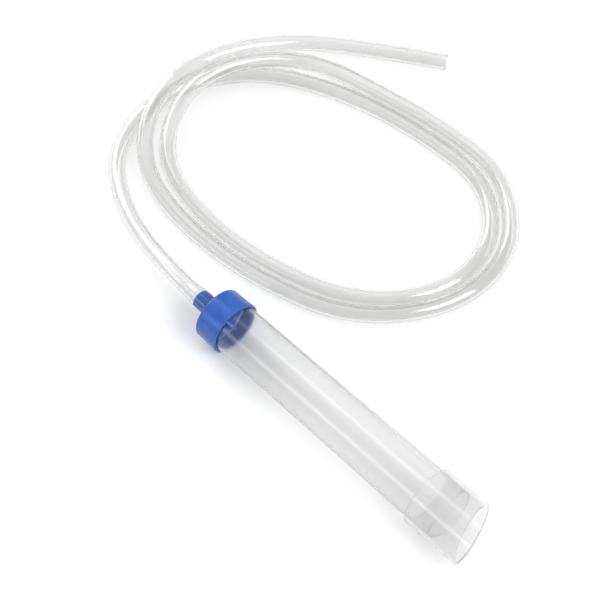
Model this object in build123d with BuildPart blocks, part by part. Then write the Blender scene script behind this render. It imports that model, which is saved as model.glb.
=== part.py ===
from build123d import *
import math
import os

# Gravel vacuum siphon for an aquarium or pond, lying on a flat surface with its hose in loose loops.
#
# Frame: +X runs along the gravel tube towards its mouth and +Z is up. The origin is on the surface,
# under the middle of the rigid part (cap, tube and sleeve). The hose leaves the cap's back towards -X
# and lies on the surface on the +Y side. All sizes are in millimetres.

os.makedirs("parts", exist_ok=True)

# ---------------------------------------------------------------- driving dimensions

# Gravel tube: clear and rigid, with a moulding draft, so it is widest at the mouth
tube_length = 226.6
tube_cap_end_diameter = 37.8
tube_mouth_diameter = 40.9
tube_wall = 1.5
tube_end_rounding = 0.4

# Head cap: skirt around the tube, flat back wall, hollow stub for the hose
socket_depth = 16.0
skirt_wall = 2.0
skirt_draft = 0.7
back_wall = 2.0
skirt_back_rounding = 1.6
rim_chamfer = 0.5
stub_diameter = 11.8
stub_wall = 2.1
stub_length = 17.4
stub_tip_rounding = 1.2
stub_root_rounding = 0.5

# Gravel guard: a cross of four tapered fins on a thin ring, rising to a low peak on the tube's axis
guard_ring_thickness = 2.0
guard_ring_width = 4.0
guard_fin_thickness = 1.8
guard_shoulder_setback = 4.9
guard_shoulder_width = 28.0
guard_peak_setback = 1.3
guard_turn = 25.0

# Mouth sleeve: a clear sleeve over the tube's lower end, cut at a slant
sleeve_wall = 2.5
sleeve_overlap = 21.0
sleeve_reach = 20.1
sleeve_slant = 30.0
sleeve_long_side = 45.0
sleeve_edge_chamfer = 0.4

# Hose: 1/2 in outside, 3/8 in inside, stretched over the stub
hose_diameter = 12.7
hose_bore = 9.5
hose_flare_diameter = 14.7
hose_flare_taper = 10.0

# Clearances
push_fit_clearance = 0.08
guard_clearance = 0.2
guard_end_gap = 0.3
guard_fin_clearance = 0.4
hose_root_clearance = 0.1
hose_lift = 0.05

# ---------------------------------------------------------------- derived sizes and places

tube_draft = (tube_mouth_diameter - tube_cap_end_diameter) / 2 / tube_length
tube_radius_at_rim = tube_cap_end_diameter / 2 + tube_draft * socket_depth
socket_radius_at_rim = tube_radius_at_rim + push_fit_clearance
skirt_radius = socket_radius_at_rim + skirt_wall
skirt_back_radius = skirt_radius - skirt_draft
sleeve_bore_radius = tube_mouth_diameter / 2 + push_fit_clearance
sleeve_radius = sleeve_bore_radius + sleeve_wall
axis_height = max(sleeve_radius, skirt_radius)

# Depths inside the cap, measured back from its rim
guard_space = guard_end_gap + guard_ring_thickness + guard_end_gap
cap_inner_depth = socket_depth + guard_space
cap_depth = cap_inner_depth + back_wall
socket_radius_at_back = socket_radius_at_rim - tube_draft * cap_inner_depth

# Places along X, with the rigid part centred on the origin
visible_tube_length = tube_length - socket_depth
slant_rise = sleeve_radius * math.tan(math.radians(sleeve_slant))
rigid_length = stub_length + cap_depth + visible_tube_length + sleeve_reach + slant_rise
stub_tip_x = -rigid_length / 2
cap_back_x = stub_tip_x + stub_length
rim_x = cap_back_x + cap_depth
cap_inner_x = rim_x - cap_inner_depth
tube_start_x = rim_x - socket_depth
tube_end_x = rim_x + visible_tube_length
sleeve_start_x = tube_end_x - sleeve_overlap
sleeve_end_x = tube_end_x + sleeve_reach

tube_axis = Axis((0, 0, axis_height), (1, 0, 0))

# Profiles of turned shapes: local x is X and local y is the radius from the tube's axis
side_plane = Plane(origin=(0, 0, axis_height), x_dir=(1, 0, 0), z_dir=(0, -1, 0))


def circles_at(part, x, radius):
    """The circular edges of a turned part that lie at a place along X and have a given radius."""
    return [
        edge
        for edge in part.edges().filter_by(GeomType.CIRCLE)
        if abs(edge.center().X - x) < 0.01 and abs(edge.radius - radius) < 0.01
    ]


# ---------------------------------------------------------------- head cap

with BuildPart() as head_cap:
    with BuildSketch(side_plane):
        with BuildLine():
            Polyline(
                (rim_x, socket_radius_at_rim),
                (rim_x, skirt_radius),
                (cap_back_x, skirt_back_radius),
                (cap_back_x, stub_diameter / 2),
                (stub_tip_x, stub_diameter / 2),
                (stub_tip_x, stub_diameter / 2 - stub_wall),
                (cap_inner_x, stub_diameter / 2 - stub_wall),
                (cap_inner_x, socket_radius_at_back),
                close=True,
            )
        make_face()
    revolve(axis=tube_axis)
    fillet(circles_at(head_cap, cap_back_x, skirt_back_radius), radius=skirt_back_rounding)
    fillet(circles_at(head_cap, stub_tip_x, stub_diameter / 2), radius=stub_tip_rounding)
    fillet(circles_at(head_cap, cap_back_x, stub_diameter / 2), radius=stub_root_rounding)
    chamfer(circles_at(head_cap, rim_x, skirt_radius), length=rim_chamfer)
    chamfer(circles_at(head_cap, rim_x, socket_radius_at_rim), length=rim_chamfer)

head_cap.part.label = "head_cap"
export_step(head_cap.part, "parts/head_cap.step")

# ---------------------------------------------------------------- gravel guard

guard_back_x = cap_inner_x + guard_end_gap
guard_shoulder_x = rim_x - guard_shoulder_setback
guard_peak_x = rim_x - guard_peak_setback
guard_ring_radius = socket_radius_at_back - guard_clearance
guard_base_width = tube_cap_end_diameter - 2 * tube_wall - 2 * guard_fin_clearance

with BuildPart() as gravel_guard:
    with BuildSketch(Plane.YZ.offset(guard_back_x)):
        with Locations((0, axis_height)):
            Circle(guard_ring_radius)
            Circle(guard_ring_radius - guard_ring_width, mode=Mode.SUBTRACT)
    extrude(amount=guard_ring_thickness)
    for fin_turn in (guard_turn, guard_turn + 90.0):
        angle = math.radians(fin_turn)
        fin_plane = Plane(
            origin=(0, 0, axis_height),
            x_dir=(1, 0, 0),
            z_dir=(0, -math.sin(angle), math.cos(angle)),
        )
        with BuildSketch(fin_plane):
            with BuildLine():
                Polyline(
                    (guard_back_x, -guard_base_width / 2),
                    (guard_back_x, guard_base_width / 2),
                    (guard_shoulder_x, guard_shoulder_width / 2),
                    (guard_peak_x, 0),
                    (guard_shoulder_x, -guard_shoulder_width / 2),
                    close=True,
                )
            make_face()
        extrude(amount=guard_fin_thickness / 2, both=True)

gravel_guard.part.label = "gravel_guard"
export_step(gravel_guard.part, "parts/gravel_guard.step")

# ---------------------------------------------------------------- gravel tube

with BuildPart() as gravel_tube:
    with BuildSketch(side_plane):
        with BuildLine():
            Polyline(
                (tube_start_x, tube_cap_end_diameter / 2 - tube_wall),
                (tube_start_x, tube_cap_end_diameter / 2),
                (tube_end_x, tube_mouth_diameter / 2),
                (tube_end_x, tube_mouth_diameter / 2 - tube_wall),
                close=True,
            )
        make_face()
    revolve(axis=tube_axis)
    for end_x, end_diameter in ((tube_start_x, tube_cap_end_diameter), (tube_end_x, tube_mouth_diameter)):
        fillet(circles_at(gravel_tube, end_x, end_diameter / 2), radius=tube_end_rounding)
        fillet(circles_at(gravel_tube, end_x, end_diameter / 2 - tube_wall), radius=tube_end_rounding)

gravel_tube.part.label = "gravel_tube"
export_step(gravel_tube.part, "parts/gravel_tube.step")

# ---------------------------------------------------------------- mouth sleeve

# The mouth is cut by a slanted plane. Its longest side is turned from the top towards -Y.
slant = math.radians(sleeve_slant)
long_side = math.radians(sleeve_long_side)
mouth_plane = Plane(
    origin=(sleeve_end_x, 0, axis_height),
    z_dir=(math.cos(slant), math.sin(slant) * math.sin(long_side), -math.sin(slant) * math.cos(long_side)),
)

with BuildPart() as mouth_sleeve:
    with BuildSketch(side_plane):
        with BuildLine():
            Polyline(
                (sleeve_start_x, sleeve_bore_radius),
                (sleeve_start_x, sleeve_radius),
                (sleeve_end_x + 2 * slant_rise, sleeve_radius),
                (sleeve_end_x + 2 * slant_rise, sleeve_bore_radius),
                close=True,
            )
        make_face()
    revolve(axis=tube_axis)
    split(bisect_by=mouth_plane, keep=Keep.BOTTOM)
    chamfer(circles_at(mouth_sleeve, sleeve_start_x, sleeve_radius), length=sleeve_edge_chamfer)
    chamfer(mouth_sleeve.edges().filter_by(GeomType.ELLIPSE), length=sleeve_edge_chamfer)

mouth_sleeve.part.label = "mouth_sleeve"
export_step(mouth_sleeve.part, "parts/mouth_sleeve.step")

# ---------------------------------------------------------------- hose

hose_start_x = cap_back_x - stub_root_rounding - hose_root_clearance
floor_z = hose_diameter / 2 + hose_lift

# Route of the hose's centre line, with X measured from the stub's tip: straight out of the cap, down to
# the surface, out along the left, two loops lying side by side, and a free end beyond them. The turns
# pass over the first stretch in two long low humps at the far left.
hose_places = [
    (-31, 0, axis_height),
    (-103, 18, 9),
    (-157, 55, floor_z),
    (-169, 125, floor_z),
    (-135, 185, floor_z),
    (-70, 218, floor_z),
    (-2, 232, floor_z),
    (64, 233, floor_z),
    (107, 197, floor_z),
    (115, 142, floor_z),
    (76, 87, floor_z),
    (6, 62, floor_z),
    (-66, 58, floor_z),
    (-125, 75, 7),
    (-153, 127, 19),
    (-139, 183, 21),
    (-101, 223, 11),
    (-50, 237, floor_z),
    (3, 247, floor_z),
    (69, 248, floor_z),
    (122, 204, floor_z),
    (129, 139, floor_z),
    (84, 74, floor_z),
    (8, 48, floor_z),
    (-68, 43, floor_z),
    (-127, 57, 9),
    (-163, 102, 20.4),
    (-163, 162, 20.4),
    (-138, 220, 10),
    (-90, 262, floor_z),
    (-37, 296, floor_z),
]

# The flare: the hose swells as it goes over the stub, and is plain again before its first bend
flare_straight_end_x = stub_tip_x - stub_tip_rounding
flare_end_x = flare_straight_end_x - hose_flare_taper

hose_route = [(flare_end_x, 0, axis_height)]
hose_route += [(stub_tip_x + x, y, z) for x, y, z in hose_places]


def corner_radii(route):
    """The arc at each corner of a route: as large as its two runs allow, with a tenth of them left straight."""
    points = [Vector(*point) for point in route]
    room = [0.45 * (after - before).length for before, after in zip(points, points[1:])]
    room[0] *= 2  # the first run has a corner at one end only
    radii = []
    for i, corner in enumerate(points[1:-1]):
        turn = math.radians((corner - points[i]).get_angle(points[i + 2] - corner))
        radii.append(min(room[i], room[i + 1]) / math.tan(turn / 2))
    return radii


hose_radii = corner_radii(hose_route)
print("hose corner radii:", [round(radius, 1) for radius in hose_radii])

with BuildPart() as hose:
    with BuildLine() as hose_path:
        FilletPolyline(*hose_route, radius=hose_radii)
    with BuildSketch(Plane(origin=(flare_end_x, 0, axis_height), z_dir=(-1, 0, 0))):
        Circle(hose_diameter / 2)
        Circle(hose_bore / 2, mode=Mode.SUBTRACT)
    sweep(path=hose_path.wire())
    with BuildSketch(side_plane):
        with BuildLine():
            Polyline(
                (hose_start_x, stub_diameter / 2),
                (hose_start_x, hose_flare_diameter / 2),
                (flare_straight_end_x, hose_flare_diameter / 2),
                (flare_end_x, hose_diameter / 2),
                (flare_end_x, hose_bore / 2),
                (flare_straight_end_x, stub_diameter / 2),
                close=True,
            )
        make_face()
    revolve(axis=tube_axis)

hose.part.label = "hose"
export_step(hose.part, "parts/hose.step")

hose_section = math.pi * (hose_diameter**2 - hose_bore**2) / 4
hose_length = hose_path.wire().length + hose_start_x - flare_end_x
print("hose length", round(hose_length, 1))
print("hose volume over section times length", round(hose.part.volume / hose_section / hose_length, 4))
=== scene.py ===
import math

import bmesh
import bpy
from mathutils import Matrix, Vector


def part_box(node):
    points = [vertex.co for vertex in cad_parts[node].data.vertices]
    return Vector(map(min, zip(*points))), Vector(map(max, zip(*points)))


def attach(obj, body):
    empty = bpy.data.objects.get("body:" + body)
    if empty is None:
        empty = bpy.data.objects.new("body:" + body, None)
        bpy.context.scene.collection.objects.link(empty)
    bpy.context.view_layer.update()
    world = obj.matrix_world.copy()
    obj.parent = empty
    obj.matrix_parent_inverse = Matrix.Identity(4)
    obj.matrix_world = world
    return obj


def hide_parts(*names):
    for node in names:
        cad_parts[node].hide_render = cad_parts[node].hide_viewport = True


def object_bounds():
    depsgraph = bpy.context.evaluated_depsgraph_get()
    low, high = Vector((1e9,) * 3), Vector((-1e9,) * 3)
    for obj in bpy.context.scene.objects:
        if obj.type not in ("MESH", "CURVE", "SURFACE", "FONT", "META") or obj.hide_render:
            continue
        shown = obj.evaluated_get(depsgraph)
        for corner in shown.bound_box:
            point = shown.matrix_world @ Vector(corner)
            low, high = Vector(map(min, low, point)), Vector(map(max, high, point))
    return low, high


# A gravel vacuum siphon on a pale floor: blue cap with a guard inside, clear gravel tube, clear sleeve
# at the mouth, and a clear hose in loose loops. Metres, in the CAD frame: +X along the tube, +Z up.

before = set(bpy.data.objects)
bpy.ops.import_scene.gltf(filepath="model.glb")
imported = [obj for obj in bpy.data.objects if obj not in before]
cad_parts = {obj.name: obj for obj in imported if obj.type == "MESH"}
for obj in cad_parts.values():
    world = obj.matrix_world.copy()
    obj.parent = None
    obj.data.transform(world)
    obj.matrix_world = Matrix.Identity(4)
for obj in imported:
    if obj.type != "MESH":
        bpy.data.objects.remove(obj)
CAD_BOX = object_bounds()

MM = 0.001

# ---------------------------------------------------------------- camera

CAMERA_PLACE = Vector((0.59795, -0.61866, 1.43546))
CAMERA_TARGET = Vector((-0.09938, 0.06044, 0.00153))
CAMERA_LENS = 142.8
SENSOR_WIDTH = 36.0

camera_data = bpy.data.cameras.new("Camera")
camera_data.lens = CAMERA_LENS
camera_data.sensor_width = SENSOR_WIDTH
camera = bpy.data.objects.new("Camera", camera_data)
camera.location = CAMERA_PLACE
camera.rotation_euler = (CAMERA_TARGET - CAMERA_PLACE).to_track_quat("-Z", "Y").to_euler()
bpy.context.scene.collection.objects.link(camera)
bpy.context.scene.camera = camera

# ---------------------------------------------------------------- places, read from the CAD nodes

cap_low, cap_high = (Vector(corner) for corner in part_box("head_cap"))
tube_low, tube_high = (Vector(corner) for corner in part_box("gravel_tube"))
sleeve_low, sleeve_high = (Vector(corner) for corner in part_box("mouth_sleeve"))

AXIS_HEIGHT = (cap_low.z + cap_high.z) / 2
STUB_TIP_X = cap_low.x
RIM_X = cap_high.x
SKIRT_RADIUS = (cap_high.z - cap_low.z) / 2
TUBE_START_X = tube_low.x
TUBE_END_X = tube_high.x
TUBE_MOUTH_RADIUS = (tube_high.z - tube_low.z) / 2
SLEEVE_START_X = sleeve_low.x
SLEEVE_RADIUS = (sleeve_high.z - sleeve_low.z) / 2

# ---------------------------------------------------------------- mesh helpers

AROUND = 160  # faces round a turned piece
ARC_STEPS = 5  # faces round a small rounding
SUPPORT = 0.35 * MM  # a loop this far from each rounding keeps the long faces' shading even
SMOOTH_ANGLE = math.radians(32)


def add_piece(name, mesh):
    piece = bpy.data.objects.new(name, mesh)
    bpy.context.scene.collection.objects.link(piece)
    return piece


def rounded(corners):
    """A closed profile of (x, radius) points, from corners given as (x, radius, rounding)."""
    profile = []
    for i, (x, y, rounding) in enumerate(corners):
        here = Vector((x, y))
        back = Vector(corners[i - 1][:2]) - here
        ahead = Vector(corners[(i + 1) % len(corners)][:2]) - here
        if rounding == 0:
            profile.append(here)
            continue
        half_angle = back.angle(ahead) / 2
        reach = rounding / math.tan(half_angle)
        back.normalize()
        ahead.normalize()
        centre = here + (back + ahead).normalized() * rounding / math.sin(half_angle)
        first = here + back * reach - centre
        last = here + ahead * reach - centre
        profile.append(here + back * (reach + SUPPORT))
        for step in range(ARC_STEPS + 1):
            share = step / ARC_STEPS
            profile.append(centre + first.slerp(last, share).normalized() * rounding)
        profile.append(here + ahead * (reach + SUPPORT))
    return profile


def closed_loops(name, loops):
    """A closed mesh from loops of points: each joins the next, and the last joins the first."""
    bm = bmesh.new()
    rings = [[bm.verts.new(point) for point in loop] for loop in loops]
    for ring, following in zip(rings, rings[1:] + rings[:1]):
        for i in range(len(ring)):
            j = (i + 1) % len(ring)
            bm.faces.new((ring[i], ring[j], following[j], following[i])).smooth = True
    bmesh.ops.recalc_face_normals(bm, faces=bm.faces)
    mesh = bpy.data.meshes.new(name)
    bm.to_mesh(mesh)
    bm.free()
    mesh.set_sharp_from_angle(angle=SMOOTH_ANGLE)
    return mesh


def turned(name, profile, place_x=None):
    """A piece turned about the tube's axis. place_x may move a point along X by where it lies."""
    loops = []
    for x, radius in profile:
        loop = []
        for i in range(AROUND):
            angle = 2 * math.pi * i / AROUND
            y = radius * math.cos(angle)
            z = radius * math.sin(angle)
            loop.append(Vector((place_x(x, y, z) if place_x else x, y, AXIS_HEIGHT + z)))
        loops.append(loop)
    return add_piece(name, closed_loops(name, loops))


# ---------------------------------------------------------------- hose

HOSE_DIAMETER = 12.7 * MM
HOSE_BORE = 9.5 * MM
FLARE_DIAMETER = 14.7 * MM
FLARE_BORE = 11.5 * MM  # a little less than the stub, which the hose grips without a gap
FLARE_STRAIGHT = 17.6 * MM
FLARE_TAPER = 10.5 * MM
HOSE_AROUND = 40
HOSE_EDGE = 0.25 * MM
ROUTE_STEPS = 20

# The route, with X measured from the stub's tip
HOSE_PLACES = [
    (0.0169, 0.0, AXIS_HEIGHT),
    (-0.031, 0.0, AXIS_HEIGHT),
    (-0.103, 0.018, 0.009),
    (-0.157, 0.055, 0.0064),
    (-0.169, 0.125, 0.0064),
    (-0.135, 0.185, 0.0064),
    (-0.070, 0.218, 0.0064),
    (-0.002, 0.232, 0.0064),
    (0.064, 0.233, 0.0064),
    (0.107, 0.197, 0.0064),
    (0.115, 0.142, 0.0064),
    (0.076, 0.087, 0.0064),
    (0.006, 0.062, 0.0064),
    (-0.066, 0.058, 0.0064),
    (-0.125, 0.075, 0.007),
    (-0.153, 0.127, 0.019),
    (-0.139, 0.183, 0.021),
    (-0.101, 0.223, 0.011),
    (-0.050, 0.237, 0.0064),
    (0.003, 0.247, 0.0064),
    (0.069, 0.248, 0.0064),
    (0.122, 0.204, 0.0064),
    (0.129, 0.139, 0.0064),
    (0.084, 0.074, 0.0064),
    (0.008, 0.048, 0.0064),
    (-0.068, 0.043, 0.0064),
    (-0.127, 0.057, 0.009),
    (-0.163, 0.102, 0.0204),
    (-0.163, 0.162, 0.0204),
    (-0.138, 0.220, 0.01),
    (-0.090, 0.262, 0.0064),
    (-0.037, 0.296, 0.0064),
]
HOSE_ROUTE = [(STUB_TIP_X + x, y, z) for x, y, z in HOSE_PLACES]


def line_of(route):
    """The points of the smooth line that a route controls."""
    curve = bpy.data.curves.new("HoseRoute", "CURVE")
    curve.dimensions = "3D"
    spline = curve.splines.new("NURBS")
    spline.points.add(len(route) - 1)
    for point, place in zip(spline.points, route):
        point.co = (*place, 1.0)
    spline.order_u = 3
    spline.use_endpoint_u = True
    spline.resolution_u = ROUTE_STEPS
    guide = bpy.data.objects.new("HoseRoute", curve)
    bpy.context.scene.collection.objects.link(guide)
    bpy.context.view_layer.update()
    line = bpy.data.meshes.new_from_object(guide)
    points = [vertex.co.copy() for vertex in line.vertices]
    bpy.data.objects.remove(guide)
    bpy.data.curves.remove(curve)
    bpy.data.meshes.remove(line)
    return points


def eased(share):
    share = min(max(share, 0.0), 1.0)
    return share * share * (3 - 2 * share)


def hose_mesh(points):
    """A hollow tube along the points, wider where it is stretched over the cap's stub."""
    count = len(points)
    along = [0.0]
    for before, after in zip(points, points[1:]):
        along.append(along[-1] + (after - before).length)
    directions = [
        (points[min(i + 1, count - 1)] - points[max(i - 1, 0)]).normalized() for i in range(count)
    ]
    sideways = [Vector((0, 1, 0))]
    for before, after in zip(directions, directions[1:]):
        sideways.append(before.rotation_difference(after) @ sideways[-1])

    def flared(i, plain, wide):
        return wide + (plain - wide) * eased((along[i] - FLARE_STRAIGHT) / FLARE_TAPER)

    outer = [flared(i, HOSE_DIAMETER / 2, FLARE_DIAMETER / 2) for i in range(count)]
    inner = [flared(i, HOSE_BORE / 2, FLARE_BORE / 2) for i in range(count)]
    end = count - 1

    # (point number, radius, shift along the line), out along the wall's outside and back along its inside
    stations = [(0, outer[0] - HOSE_EDGE, 0.0), (0, outer[0], HOSE_EDGE)]
    stations += [(i, outer[i], 0.0) for i in range(1, end)]
    stations.append((end, outer[end], -HOSE_EDGE))
    stations.append((end, outer[end] - HOSE_EDGE, 0.0))
    stations.append((end, inner[end] + HOSE_EDGE, 0.0))
    stations.append((end, inner[end], -HOSE_EDGE))
    stations += [(i, inner[i], 0.0) for i in range(end - 1, 0, -1)]
    stations.append((0, inner[0], HOSE_EDGE))
    stations.append((0, inner[0] + HOSE_EDGE, 0.0))

    loops, grain = [], []
    for i, radius, shift in stations:
        up = directions[i].cross(sideways[i])
        loop = []
        for k in range(HOSE_AROUND):
            angle = 2 * math.pi * k / HOSE_AROUND
            out = sideways[i] * math.cos(angle) + up * math.sin(angle)
            loop.append(points[i] + directions[i] * shift + out * radius)
            grain.append((math.cos(angle) * radius, math.sin(angle) * radius, along[i] + shift))
        loops.append(loop)
    mesh = closed_loops("Hose", loops)
    # Where each point lies in the straight, extruded hose: across it twice, and along it
    attribute = mesh.attributes.new("extruded", "FLOAT_VECTOR", "POINT")
    attribute.data.foreach_set("vector", [number for place in grain for number in place])
    return mesh


hose_line = line_of(HOSE_ROUTE)
hose = add_piece("Hose", hose_mesh(hose_line))
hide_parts("hose")
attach(hose, "head")

# ---------------------------------------------------------------- head cap

SOCKET_DEPTH = 16.0 * MM
SOCKET_CLEARANCE = 0.08 * MM
GUARD_SPACE = 2.6 * MM
SKIRT_DRAFT = 0.7 * MM
TUBE_CAP_RADIUS = 18.9 * MM
STUB_LENGTH = 17.4 * MM
STUB_RADIUS = 5.9 * MM
STUB_BORE_RADIUS = 3.8 * MM
RIM_INNER_ROUNDING = 0.4 * MM
RIM_OUTER_ROUNDING = 0.45 * MM
SKIRT_BACK_ROUNDING = 1.6 * MM
CAP_CORNER_ROUNDING = 0.5 * MM
STUB_TIP_ROUNDING = 1.7 * MM
BORE_ROUNDING = 0.3 * MM

tube_draft = (TUBE_MOUTH_RADIUS - TUBE_CAP_RADIUS) / (TUBE_END_X - TUBE_START_X)
socket_radius = TUBE_CAP_RADIUS + tube_draft * SOCKET_DEPTH + SOCKET_CLEARANCE
socket_back_radius = socket_radius - tube_draft * (SOCKET_DEPTH + GUARD_SPACE)
cap_inner_x = RIM_X - SOCKET_DEPTH - GUARD_SPACE
cap_back_x = STUB_TIP_X + STUB_LENGTH

cap = turned("HeadCap", rounded([
    (RIM_X, socket_radius, RIM_INNER_ROUNDING),
    (RIM_X, SKIRT_RADIUS, RIM_OUTER_ROUNDING),
    (cap_back_x, SKIRT_RADIUS - SKIRT_DRAFT, SKIRT_BACK_ROUNDING),
    (cap_back_x, STUB_RADIUS, CAP_CORNER_ROUNDING),
    (STUB_TIP_X, STUB_RADIUS, STUB_TIP_ROUNDING),
    (STUB_TIP_X, STUB_BORE_RADIUS, BORE_ROUNDING),
    (cap_inner_x, STUB_BORE_RADIUS, BORE_ROUNDING),
    (cap_inner_x, socket_back_radius, CAP_CORNER_ROUNDING),
]))
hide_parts("head_cap")
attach(cap, "head")

# ---------------------------------------------------------------- gravel tube

TUBE_WALL = 1.5 * MM
TUBE_ROUNDING = 0.4 * MM

tube = turned("GravelTube", rounded([
    (TUBE_START_X, TUBE_CAP_RADIUS - TUBE_WALL, TUBE_ROUNDING),
    (TUBE_START_X, TUBE_CAP_RADIUS, TUBE_ROUNDING),
    (TUBE_END_X, TUBE_MOUTH_RADIUS, TUBE_ROUNDING),
    (TUBE_END_X, TUBE_MOUTH_RADIUS - TUBE_WALL, TUBE_ROUNDING),
]))
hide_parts("gravel_tube")
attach(tube, "tube")

# ---------------------------------------------------------------- mouth sleeve

SLEEVE_CLEARANCE = 0.08 * MM
SLEEVE_REACH = 20.1 * MM
SLEEVE_SLANT = math.radians(30)
SLEEVE_LONG_SIDE = math.radians(45)
SLEEVE_START_ROUNDING = 0.3 * MM
SLEEVE_OUTER_ROUNDING = 0.5 * MM
MOUTH_INNER_ROUNDING = 0.4 * MM
STRAIGHT_CUT = 3.0 * MM  # the mouth's loops this near its edge all follow the slant

sleeve_bore_radius = TUBE_MOUTH_RADIUS + SLEEVE_CLEARANCE
sleeve_end_x = TUBE_END_X + SLEEVE_REACH
slant_y = -math.tan(SLEEVE_SLANT) * math.sin(SLEEVE_LONG_SIDE)
slant_z = math.tan(SLEEVE_SLANT) * math.cos(SLEEVE_LONG_SIDE)


def slanted(x, y, z):
    share = (x - SLEEVE_START_X - STRAIGHT_CUT) / (sleeve_end_x - SLEEVE_START_X - 2 * STRAIGHT_CUT)
    return x + min(max(share, 0.0), 1.0) * (slant_y * y + slant_z * z)


sleeve = turned("MouthSleeve", rounded([
    (SLEEVE_START_X, sleeve_bore_radius, SLEEVE_START_ROUNDING),
    (SLEEVE_START_X, SLEEVE_RADIUS, SLEEVE_OUTER_ROUNDING),
    (sleeve_end_x, SLEEVE_RADIUS, SLEEVE_OUTER_ROUNDING),
    (sleeve_end_x, sleeve_bore_radius, MOUTH_INNER_ROUNDING),
]), slanted)
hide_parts("mouth_sleeve")
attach(sleeve, "sleeve")

# ---------------------------------------------------------------- materials


class Nodes:
    """Builds a material's nodes, each linked by name."""

    def __init__(self, name):
        self.material = bpy.data.materials.new(name)
        self.material.use_nodes = True
        self.tree = self.material.node_tree
        self.tree.nodes.clear()
        self.output = self.add("ShaderNodeOutputMaterial")

    def add(self, kind, links=(), **values):
        """links and values are for the node's sockets, apart from values named set_..., its own settings."""
        node = self.tree.nodes.new(kind)
        for key, value in values.items():
            if key.startswith("set_"):
                setattr(node, key[4:], value)
        for key, value in values.items():
            if not key.startswith("set_"):
                node.inputs[key.replace("_", " ")].default_value = value
        for key, source in dict(links).items():
            self.tree.links.new(source, node.inputs[key])
        return node

    def coordinates(self, stretch, attribute=None):
        """Places on the piece, divided by how far the pattern stretches along each direction."""
        if attribute:
            source = self.add("ShaderNodeAttribute", set_attribute_name=attribute).outputs["Vector"]
        else:
            source = self.add("ShaderNodeTexCoord").outputs["Object"]
        scale = tuple(1 / length for length in stretch)
        return self.add("ShaderNodeMapping", {"Vector": source}, Scale=scale).outputs["Vector"]

    def noise(self, place, detail=3.0, roughness=0.5):
        values = {"Scale": 1.0, "Detail": detail, "Roughness": roughness}
        node = self.add("ShaderNodeTexNoise", {"Vector": place}, **values)
        return node.outputs["Fac"]

    def ranged(self, source, low, high, darkest=0.3, lightest=0.7):
        node = self.add(
            "ShaderNodeMapRange",
            {"Value": source},
            From_Min=darkest,
            From_Max=lightest,
            To_Min=low,
            To_Max=high,
        )
        return node.outputs["Result"]

    def tinted(self, source, dark, light):
        node = self.add("ShaderNodeMix", set_data_type="RGBA")
        node.inputs[6].default_value = (*dark, 1.0)
        node.inputs[7].default_value = (*light, 1.0)
        self.tree.links.new(self.ranged(source, 0.0, 1.0), node.inputs[0])
        return node.outputs[2]

    def bumped(self, source, strength, distance, under=None):
        links = {"Height": source}
        if under is not None:
            links["Normal"] = under
        return self.add("ShaderNodeBump", links, Strength=strength, Distance=distance).outputs["Normal"]

    def finish(self, shader):
        self.tree.links.new(shader, self.output.inputs["Surface"])
        return self.material


def blue_plastic(name, dark, light):
    """Glossy moulded plastic with faint flow marks along the draw and a very fine orange peel."""
    n = Nodes(name)
    clouds = n.noise(n.coordinates((9 * MM, 6 * MM, 6 * MM)))
    peel = n.noise(n.coordinates((0.9 * MM, 0.7 * MM, 0.7 * MM)))
    scuffs = n.noise(n.coordinates((5 * MM, 0.5 * MM, 0.5 * MM)), detail=5.0, roughness=0.65)
    normal = n.bumped(clouds, strength=0.25, distance=0.15 * MM)
    normal = n.bumped(peel, strength=0.10, distance=0.05 * MM, under=normal)
    shader = n.add(
        "ShaderNodeBsdfPrincipled",
        {
            "Base Color": n.tinted(clouds, dark, light),
            "Roughness": n.ranged(scuffs, low=0.20, high=0.34),
            "Normal": normal,
        },
        IOR=1.50,
    )
    return n.finish(shader.outputs["BSDF"])


def clear_plastic(
    name, dark, light, smooth, rough, ior, flow, flow_depth, fine, fine_depth, haze=0.0, attribute=None
):
    """See-through plastic. flow and fine are the sizes of its slow and quick unevenness, along and across,
    and haze is the share of light that it scatters."""
    n = Nodes(name)
    slow = n.noise(n.coordinates(flow, attribute), detail=2.0)
    quick = n.noise(n.coordinates(fine, attribute), detail=4.0, roughness=0.6)
    normal = n.bumped(slow, strength=1.0, distance=flow_depth)
    normal = n.bumped(quick, strength=1.0, distance=fine_depth, under=normal)
    plastic = n.add(
        "ShaderNodeBsdfPrincipled",
        {
            "Base Color": n.tinted(slow, dark, light),
            "Roughness": n.ranged(quick, smooth, rough),
            "Normal": normal,
        },
        IOR=ior,
        Transmission_Weight=1.0 - haze,
    )
    # Light on its way to what lies behind goes straight through, as it nearly does through a thin wall
    through = n.add("ShaderNodeBsdfTransparent", Color=(*light, 1.0))
    rays = n.add("ShaderNodeLightPath")
    lit = n.add("ShaderNodeMixShader", {0: rays.outputs["Is Diffuse Ray"]})
    n.tree.links.new(plastic.outputs["BSDF"], lit.inputs[1])
    n.tree.links.new(through.outputs["BSDF"], lit.inputs[2])
    shadowed = n.add("ShaderNodeMixShader", {0: rays.outputs["Is Shadow Ray"]})
    n.tree.links.new(lit.outputs[0], shadowed.inputs[1])
    n.tree.links.new(through.outputs["BSDF"], shadowed.inputs[2])
    return n.finish(shadowed.outputs[0])


def floor_paint(name):
    n = Nodes(name)
    clouds = n.noise(n.coordinates((0.4, 0.4, 0.4)), detail=4.0)
    shader = n.add(
        "ShaderNodeBsdfPrincipled",
        {"Base Color": n.tinted(clouds, (0.900, 0.900, 0.900), (0.925, 0.925, 0.925))},
        Roughness=0.9,
        Specular_IOR_Level=0.1,
    )
    return n.finish(shader.outputs["BSDF"])


def wear(piece, material):
    piece.data.materials.clear()
    piece.data.materials.append(material)


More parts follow.
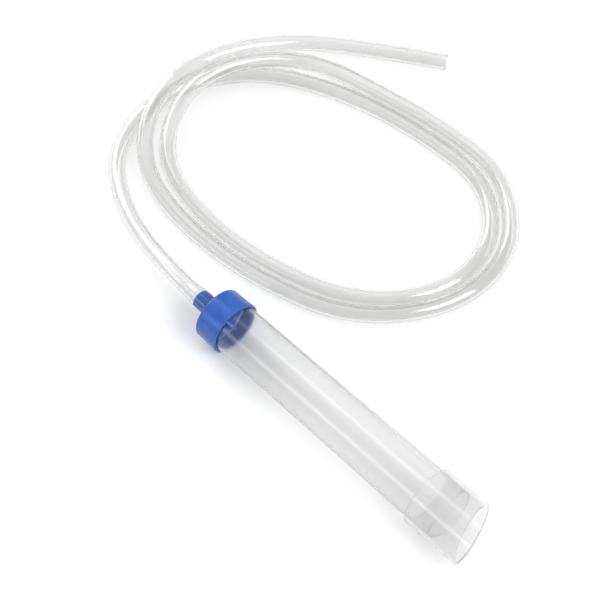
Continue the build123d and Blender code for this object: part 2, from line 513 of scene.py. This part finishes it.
wear(cap, blue_plastic("CapBlue", (0.013, 0.088, 0.385), (0.021, 0.108, 0.445)))
wear(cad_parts["gravel_guard"], blue_plastic("GuardBlue", (0.040, 0.150, 0.560), (0.055, 0.180, 0.640)))
wear(tube, clear_plastic(
    "TubeClear",
    dark=(0.908, 0.909, 0.908),
    light=(0.930, 0.931, 0.930),
    smooth=0.13,
    rough=0.20,
    ior=1.49,
    flow=(90 * MM, 9 * MM, 9 * MM),
    flow_depth=0.015 * MM,
    fine=(6 * MM, 0.8 * MM, 0.8 * MM),
    fine_depth=0.0012 * MM,
))
wear(sleeve, clear_plastic(
    "SleeveClear",
    dark=(0.845, 0.846, 0.845),
    light=(0.870, 0.871, 0.870),
    smooth=0.03,
    rough=0.06,
    haze=0.22,
    ior=1.49,
    flow=(14 * MM, 10 * MM, 10 * MM),
    flow_depth=0.008 * MM,
    fine=(2 * MM, 0.8 * MM, 0.8 * MM),
    fine_depth=0.003 * MM,
))
wear(hose, clear_plastic(
    "HoseClear",
    dark=(0.872, 0.873, 0.871),
    light=(0.914, 0.915, 0.913),
    smooth=0.04,
    rough=0.12,
    ior=1.52,
    flow=(3.0 * MM, 3.0 * MM, 160 * MM),
    flow_depth=0.018 * MM,
    fine=(0.9 * MM, 0.9 * MM, 60 * MM),
    fine_depth=0.003 * MM,
    attribute="extruded",
))

# ---------------------------------------------------------------- floor, lights and surroundings

FLOOR_SIZE = 8.0
FLOOR_CELLS = 8
FLOOR_GAP = 0.2 * MM
HORIZON = (0.68, 0.68, 0.678, 1.0)
OVERHEAD = (0.60, 0.60, 0.598, 1.0)
OVERHEAD_FROM = 0.75  # the upward part of a direction from which the surroundings are all OVERHEAD

bm = bmesh.new()
bmesh.ops.create_grid(bm, x_segments=FLOOR_CELLS, y_segments=FLOOR_CELLS, size=FLOOR_SIZE / 2)
floor_mesh = bpy.data.meshes.new("Floor")
bm.to_mesh(floor_mesh)
bm.free()
floor = add_piece("Floor", floor_mesh)
floor.location.z = CAD_BOX[0][2] - FLOOR_GAP
wear(floor, floor_paint("FloorPaint"))


def area_light(name, place, target, width, height, radiance):
    """A flat lamp facing the target, its width along X. radiance is how bright its face looks."""
    data = bpy.data.lights.new(name, "AREA")
    data.shape = "RECTANGLE"
    data.size = width
    data.size_y = height
    data.energy = radiance * math.pi * width * height
    lamp = bpy.data.objects.new(name, data)
    towards = (Vector(target) - Vector(place)).normalized()
    back = -towards
    side = (Vector((1, 0, 0)) - back * back.x).normalized()
    lamp.matrix_world = Matrix.Translation(place) @ Matrix(
        (side, back.cross(side), back)
    ).transposed().to_4x4()
    bpy.context.scene.collection.objects.link(lamp)


area_light("StripFront", (-0.85, -1.70, 0.98), (0.0, 0.0, 0.02), 1.8, 0.50, 1.9)
area_light("StripTop", (-0.85, 0.45, 1.95), (0.0, 0.0, 0.02), 1.8, 0.50, 1.0)
area_light("KeyRight", (1.90, 0.35, 2.00), (-0.1, 0.1, 0.0), 1.5, 1.5, 6.0)
area_light("KeyLeft", (-2.30, 0.30, 1.60), (-0.1, 0.1, 0.0), 1.5, 1.5, 4.2)

world = bpy.data.worlds.new("Studio")
bpy.context.scene.world = world
world.use_nodes = True
tree = world.node_tree
tree.nodes.clear()
sky_place = tree.nodes.new("ShaderNodeTexCoord")
sky_split = tree.nodes.new("ShaderNodeSeparateXYZ")
sky_ramp = tree.nodes.new("ShaderNodeValToRGB")
sky_light = tree.nodes.new("ShaderNodeBackground")
sky_output = tree.nodes.new("ShaderNodeOutputWorld")
tree.links.new(sky_place.outputs["Generated"], sky_split.inputs[0])
tree.links.new(sky_split.outputs["Z"], sky_ramp.inputs[0])
tree.links.new(sky_ramp.outputs[0], sky_light.inputs[0])
tree.links.new(sky_light.outputs[0], sky_output.inputs[0])
sky_ramp.color_ramp.elements[0].position = 0.0
sky_ramp.color_ramp.elements[0].color = HORIZON
sky_ramp.color_ramp.elements[1].position = OVERHEAD_FROM
sky_ramp.color_ramp.elements[1].color = OVERHEAD
sky_light.inputs["Strength"].default_value = 1.0

bpy.context.scene.view_settings.view_transform = "Standard"
